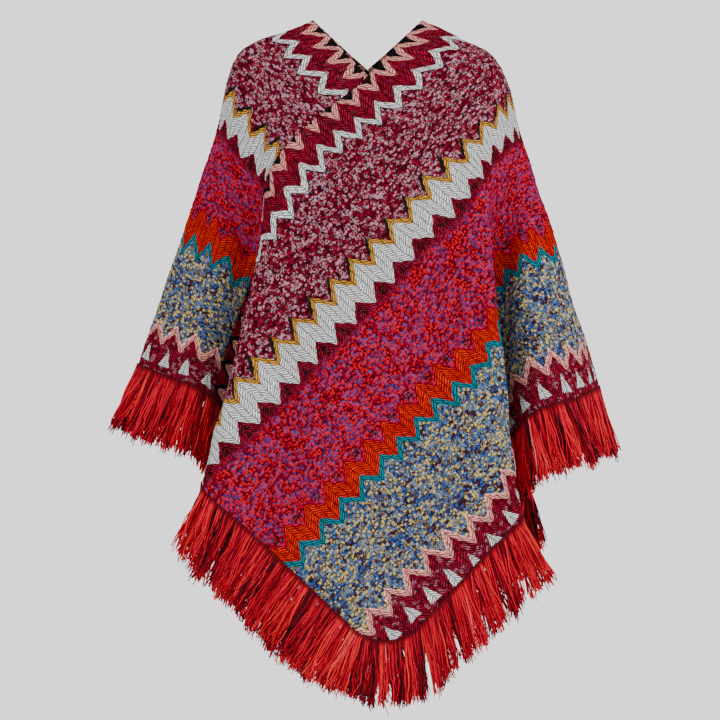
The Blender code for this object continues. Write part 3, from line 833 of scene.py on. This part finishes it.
class Field:
    """A number that a material works out at each place, for use in sums."""

    def __init__(self, tree, socket):
        self.tree = tree
        self.socket = socket

    def math(self, operation, *others, clamp=False):
        node = self.tree.nodes.new("ShaderNodeMath")
        node.operation = operation
        node.use_clamp = clamp
        for socket, value in zip(node.inputs, (self, *others)):
            if isinstance(value, Field):
                self.tree.links.new(value.socket, socket)
            else:
                socket.default_value = value
        return Field(self.tree, node.outputs[0])

    def __add__(self, other):
        return self.math("ADD", other)

    def __sub__(self, other):
        return self.math("SUBTRACT", other)

    def __mul__(self, other):
        return self.math("MULTIPLY", other)

    def over(self, edge, softness=SOFT_EDGE):
        """1 above the edge and 0 below it, with a soft step."""
        return ((self - edge) * (1 / softness)).math("ADD", 0.5, clamp=True)

    def mixed(self, share, other):
        """This where share is 0 and the other where it is 1."""
        return self + (other - self) * share

    def near(self, half_width, softness=SOFT_EDGE):
        """1 where this is within half_width of 0."""
        inside = (self.math("ABSOLUTE") - half_width) * (-1 / softness)
        return inside.math("ADD", 0.5, clamp=True)

    def other(self):
        """1 where this is 0, and 0 where it is 1."""
        return self * -1 + 1


def tips(along, tip, before, after):
    """Position along a zigzag, counted in its periods from an upper tip where the period changes."""
    way = along - tip
    return way * (1 / before) + way.math("MAXIMUM", 0.0) * (1 / after - 1 / before)


def zigzag(place):
    """0 at the upper tips of a zigzag and 1 at the lower ones, straight between."""
    return place.math("PINGPONG", 0.5) * 2


def bell(field, middle, width):
    """A smooth hump, 1 at the middle."""
    way = (field - middle) * (1 / width)
    return (way * way * -1).math("EXPONENT")


def together(tree, x, y):
    """A vector of two fields."""
    node = tree.nodes.new("ShaderNodeCombineXYZ")
    tree.links.new(x.socket, node.inputs["X"])
    tree.links.new(y.socket, node.inputs["Y"])
    return node.outputs[0]


def noise(tree, vector, size, detail=1.0):
    """Soft noise about 0.5."""
    node = tree.nodes.new("ShaderNodeTexNoise")
    node.inputs["Scale"].default_value = 1 / size
    node.inputs["Detail"].default_value = detail
    tree.links.new(vector, node.inputs["Vector"])
    return Field(tree, node.outputs["Fac"])


def wander(tree, vector, kind):
    """Millimetres by which a line strays."""
    size, reach = kind
    return (noise(tree, vector, size) - 0.5) * reach


def beyond(across, zig, line):
    """Millimetres from a zigzag line down to each place."""
    return across - line.upper - zig * line.drop


def tip_flecks(tip_place, across, kind):
    """1 on a short stretch of one row at each tip, where the place along a zigzag is 0."""
    return tip_place.math("LESS_THAN", kind.share) * (across - kind.row).near(kind.half_height)


def cells(tree, x, y, kind):
    """Grains of a kind: two random numbers for each, and the distance from its middle."""
    width, height, disorder = kind
    node = tree.nodes.new("ShaderNodeTexVoronoi")
    node.voronoi_dimensions = "2D"
    node.inputs["Scale"].default_value = 1
    node.inputs["Randomness"].default_value = disorder
    tree.links.new(together(tree, x * (1 / width), y * (1 / height)), node.inputs["Vector"])
    parts = tree.nodes.new("ShaderNodeSeparateColor")
    tree.links.new(node.outputs["Color"], parts.inputs[0])
    numbers = (Field(tree, parts.outputs[0]), Field(tree, parts.outputs[1]))
    return *numbers, Field(tree, node.outputs["Distance"])


def vees(arm, row):
    """How deep each place is in the gaps between knit stitches: 0 on the yarn and 1 in a gap."""
    between_rows = (row * (1 / STITCH_HEIGHT)).math("PINGPONG", 0.5)
    between_rows = (between_rows * -1 + STITCH_GAP) * (1 / STITCH_GAP)
    between_arms = (arm.math("PINGPONG", 0.25) * -1 + ARM_GAP) * (1 / ARM_GAP)
    return between_rows.math("MAXIMUM", between_arms).math("MAXIMUM", 0.0).math("MINIMUM", 1.0)


def linear(color):
    """A colour of eight-bit display values as the shader takes it."""
    return tuple((c / 255 / 12.92) if c < 11 else ((c / 255 + 0.055) / 1.055) ** 2.4 for c in color)


def ramp(tree, field, stops):
    """Colours by steps of a field."""
    node = tree.nodes.new("ShaderNodeValToRGB")
    node.color_ramp.interpolation = "CONSTANT"
    elements = node.color_ramp.elements
    while len(elements) < len(stops):
        elements.new(0.5)
    for element, (position, color) in zip(elements, stops):
        element.position = position
        element.color = (*linear(color), 1)
    tree.links.new(field.socket, node.inputs["Fac"])
    return node.outputs["Color"]


def mixed(tree, share, under, cover, blend="MIX"):
    """Cover laid over under by a share."""
    node = tree.nodes.new("ShaderNodeMix")
    node.data_type = "RGBA"
    node.blend_type = blend
    tree.links.new(share.socket, node.inputs["Factor"])
    for socket, value in ((node.inputs["A"], under), (node.inputs["B"], cover)):
        if isinstance(value, tuple):
            socket.default_value = (*linear(value), 1)
        else:
            tree.links.new(value, socket)
    return node.outputs["Result"]


def plain_material(name, surface):
    """A new material, its nodes and its shader, with this roughness and shine."""
    material = bpy.data.materials.new(name)
    material.use_nodes = True
    shader = material.node_tree.nodes["Principled BSDF"]
    shader.inputs["Roughness"].default_value = surface[0]
    shader.inputs["Specular IOR Level"].default_value = surface[1]
    return material, material.node_tree, shader


def knit_material():
    """The stripes, worked out in millimetres from the neck edge of the flat cut."""
    material, tree, shader = plain_material("panel_knit", KNIT_SURFACE)
    place = tree.nodes.new("ShaderNodeAttribute")
    place.attribute_name = "flat"
    parts = tree.nodes.new("ShaderNodeSeparateXYZ")
    tree.links.new(place.outputs["Vector"], parts.inputs[0])
    flat = place.outputs["Vector"]
    straight_along = Field(tree, parts.outputs["X"]) * 1000
    straight_across = Field(tree, parts.outputs["Y"]) * 1000
    along = straight_along + wander(tree, flat, WANDER_ALONG)
    across = straight_across + wander(tree, flat, WANDER_ACROSS)
    swell = bell(along, SWELL_MIDDLE, SWELL_WIDTH) * SWELL_REACH
    back = (along * -1 + RETURN_START).math("MULTIPLY", 1 / RETURN_LENGTH, clamp=True) * RETURN_REACH
    edge_across = across + swell - back
    growth = (across - SAG.row).math("MULTIPLY", 1 / SAG.growth, clamp=True)
    across = across - bell(along + across, SAG.middle, SAG.width) * growth * SAG.reach

    # The zigzags, and how far each place is below each line
    neck_tips = tips(along, *NECK_ZIGZAG)
    gold_tips = tips(along, *GOLD_ZIGZAG)
    teal_tips = tips(along, *TEAL_ZIGZAG)
    hem_tips = tips(along, *HEM_ZIGZAG)
    neck, gold, teal, hem = map(zigzag, (neck_tips, gold_tips, teal_tips, hem_tips))
    pink_line = beyond(edge_across, neck, PINK_LINE)
    white_line = beyond(edge_across, neck, WHITE_LINE)
    gold_line = beyond(across, gold, GOLD_LINE)
    white_end = beyond(across, gold, WHITE_BAND_END)
    on_sleeve = (along - SLEEVE_START).math("MULTIPLY", 1 / SLEEVE_BLEND, clamp=True)
    orange_start = beyond(across, teal, ORANGE_START)
    orange_start = orange_start + on_sleeve * SLEEVE_RISE - teal * on_sleeve * SLEEVE_START_DROP
    teal_line = beyond(across, teal, TEAL_LINE) - teal * on_sleeve * SLEEVE_TEAL_DROP
    hem_line = beyond(across, hem, HEM_LINE)

    # The stitches and the grains
    stray = wander(tree, flat, WANDER_GRAINS)
    grain, grain_ring, grain_out = cells(tree, straight_along + stray, straight_across - stray, GRAIN_CELLS)
    shade, fleck, _ = cells(tree, along, across, STITCH_CELLS)
    cloud = noise(tree, flat, CLOUD_SIZE, CLOUD_DETAIL) - 0.5
    arm = hem
    for change, zig in zip(reversed(ARM_CHANGES), (teal, gold, neck)):
        arm = zig.mixed(across.over(change), arm)
    stitch_gap = vees(arm, across - arm * STITCH_SLOPE)
    worn = (noise(tree, flat, WORN_SIZE) - WORN_FLOOR) * WORN_GAIN
    stitch_gap = stitch_gap * worn.math("MINIMUM", 1.0)
    ring = noise(tree, flat, RING_BREAK_SIZE).over(RING_BREAK, RING_BREAK_SOFTNESS)
    ring = grain_out.over(RING_START, RING_SOFTNESS) * ring
    ragged = noise(tree, flat, RAGGED_SIZE).over(RAGGED_LEVEL, RAGGED_SOFTNESS)

    # The colours that a band is filled with
    maroon = ramp(tree, shade, MAROONS)
    crimson = ramp(tree, grain, CRIMSONS)
    oranges = ramp(tree, shade, ORANGES)
    wine_rings = ramp(tree, grain_ring + cloud, WINE_RINGS)
    wine_marl = mixed(tree, ring, ramp(tree, grain, WINE_DOTS), wine_rings)
    red_rings = ramp(tree, grain_ring + cloud * 2, RED_RINGS)
    red_marl = mixed(tree, ring, ramp(tree, grain, RED_DOTS), red_rings)
    blue_rings = ramp(tree, grain_ring + cloud, BLUE_RINGS)
    blue_marl = mixed(tree, ring, ramp(tree, grain + cloud, BLUE_DOTS), blue_rings)

    # The bands and lines, from the neck down, each laid over the one before
    black = along.over(NECK_BLACK_END, NECK_BLACK_FADE).math("MAXIMUM", pink_line.over(-BLACK_STRIP))
    black = pink_line.over(-BLACK_ABOVE_PINK).other() * black
    in_wine = white_line.over(MARL_MARGIN)
    color = mixed(tree, black, maroon, BLACK)
    color = mixed(tree, pink_line.near(PINK_LINE.half_width), color, PINK)
    color = mixed(tree, in_wine, color, wine_marl)
    color = mixed(tree, (white_line - OUTLINE_DROP).near(OUTLINE_HALF_WIDTH), color, BLACK)
    color = mixed(tree, white_line.near(WHITE_LINE.half_width), color, WHITE)
    part = gold_tips.math("FRACT")
    falling = (part * -1 + BLACK_ARM_END).over(0.0, BLACK_ARM_END_SOFTNESS)
    falling = falling * part.over(BLACK_ARM_START, BLACK_ARM_START_SOFTNESS)
    color = mixed(tree, gold_line.over(-BLACK_ABOVE_GOLD) * falling, color, BLACK)
    color = mixed(tree, gold_line.over(WHITE_BELOW_GOLD), color, WHITE)
    color = mixed(tree, gold_line.near(GOLD_LINE.half_width), color, GOLD)
    color = mixed(tree, white_end.over(0), color, maroon)
    flecks = tip_flecks(gold_tips.math("PINGPONG", 0.5), across, WHITE_TIP_FLECKS)
    color = mixed(tree, flecks * ragged, color, BLACK)
    in_red = across.over(RED_MARL_START, RED_MARL_FADE)
    color = mixed(tree, in_red, color, red_marl)
    color = mixed(tree, orange_start.over(-CRIMSON_ABOVE_ORANGE), color, crimson)
    flecks = tip_flecks(teal_tips.math("PINGPONG", 0.5) * -1 + 0.5, across, ORANGE_TIP_FLECKS)
    color = mixed(tree, flecks * ragged, color, BLACK)
    color = mixed(tree, orange_start.over(0), color, oranges)
    color = mixed(tree, teal_line.over(0), color, blue_marl)
    color = mixed(tree, teal_line.near(TEAL_LINE.half_width), color, TEAL)
    color = mixed(tree, hem_line.over(0), color, maroon)
    pale = hem_line.over(FLECKS_BELOW_HEM_LINE) * fleck.over(PALE_FLECK_LIMIT, PALE_FLECK_SOFTNESS)
    color = mixed(tree, pale * PALE_FLECK_STRENGTH, color, PALE_FLECK)
    color = mixed(tree, hem_line.near(HEM_LINE.half_width), color, PINK)
    triangle = across - TRIANGLE_TIPS - hem_tips.math("PINGPONG", 0.5) * TRIANGLE_SLOPE
    triangle = triangle.over(0) * across.over(TRIANGLE_BASES).other()
    color = mixed(tree, triangle, color, WHITE)

    # The gaps: between grains in the marl, and between stitches elsewhere; painted shade darkens them and
    # the bump sinks them
    in_marl = in_wine * gold_line.over(-GOLD_MARGIN).other()
    in_marl = in_marl + in_red * orange_start.over(-MARL_STOP).other()
    in_marl = in_marl + teal_line.over(MARL_MARGIN) * hem_line.over(-MARL_STOP).other()
    grain_gap = ((grain_out - GRAIN_GAP_START) * GRAIN_GAP_GAIN).math("MAXIMUM", 0.0)
    grain_gap = grain_gap.math("MINIMUM", 1.0) * GRAIN_GAP_DEPTH
    gap = stitch_gap.mixed(in_marl, grain_gap)
    # Painted shade darkens the gaps
    color = mixed(tree, gap * GAP_SHADE_STRENGTH, color, GAP_SHADE_COLOR, "MULTIPLY")
    tree.links.new(color, shader.inputs["Base Color"])
    bump = tree.nodes.new("ShaderNodeBump")
    bump.inputs["Strength"].default_value = 1.0
    bump.inputs["Distance"].default_value = BUMP_HEIGHT
    tree.links.new(gap.other().socket, bump.inputs["Height"])
    tree.links.new(bump.outputs["Normal"], shader.inputs["Normal"])
    return material


def yarn_material():
    """Reds that differ from yarn to yarn, darkened at the roots with painted shade."""
    material, tree, shader = plain_material("fringe_yarn", YARN_SURFACE)
    layers = {}
    for label in ("tint", "down"):
        node = tree.nodes.new("ShaderNodeAttribute")
        node.attribute_name = label
        layers[label] = Field(tree, node.outputs["Fac"])
    # Yarn tints, with painted shade among the darkest and a painted highlight in the palest
    color = ramp(tree, layers["tint"], YARN_REDS_WITH_PAINTED_LIGHT)
    # Painted shade darkens each yarn at its root
    past_root = layers["down"].over(YARN_ROOT_SHADE_SHARE, YARN_ROOT_SHADE_SOFTNESS)
    color = mixed(tree, past_root, YARN_ROOT_SHADE_COLOR, color)
    tree.links.new(color, shader.inputs["Base Color"])
    return material


def studio():
    """A round pale floor, soft light and the camera."""
    turns = np.arange(FLOOR_SIDES) * 2 * math.pi / FLOOR_SIDES
    points = [(FLOOR_RADIUS * math.cos(a), FLOOR_RADIUS * math.sin(a), FLOOR_Z) for a in turns]
    mesh = bpy.data.meshes.new("floor")
    mesh.from_pydata(points, [], [range(FLOOR_SIDES)])
    material, _, shader = plain_material("floor", FLOOR_SURFACE)
    shader.inputs["Base Color"].default_value = FLOOR_COLOR
    mesh.materials.append(material)
    add_object("floor", mesh)
    world = bpy.data.worlds.new("studio")
    world.use_nodes = True
    world.node_tree.nodes["Background"].inputs["Color"].default_value = WORLD_COLOR
    world.node_tree.nodes["Background"].inputs["Strength"].default_value = WORLD_STRENGTH
    bpy.context.scene.world = world
    for lamp in LAMPS:
        light = bpy.data.lights.new(lamp.name, "AREA")
        light.size = lamp.size
        light.energy = lamp.power
        thing = add_object(lamp.name, light)
        thing.location = lamp.place
        aim = Vector(lamp.aim) - Vector(lamp.place)
        thing.rotation_euler = aim.to_track_quat("-Z", "Y").to_euler()
    data = bpy.data.cameras.new("camera")
    data.lens = CAMERA_LENS
    camera = add_object("camera", data)
    camera.location = (CAMERA_X, -CAMERA_DISTANCE, CAMERA_Z)
    camera.rotation_euler = (math.pi / 2, 0, 0)
    bpy.context.scene.camera = camera


knit = knit_material()
yarn = yarn_material()
for seed, hanging_face in enumerate(("front", "back")):
    panel, panel_hems = shell(hanging_face)
    panel.data.materials.append(knit)
    for hem_edge, hem in panel_hems.items():
        yarns = fringe(hanging_face, hem_edge, hem, seed * 7 + len(hem_edge))
        yarns.data.materials.append(yarn)
        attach(yarns, "root")
        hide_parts(f"{hanging_face}_{hem_edge}_fringe")
    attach(panel, "root")
    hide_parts(f"{hanging_face}_wrap_panel")
studio()
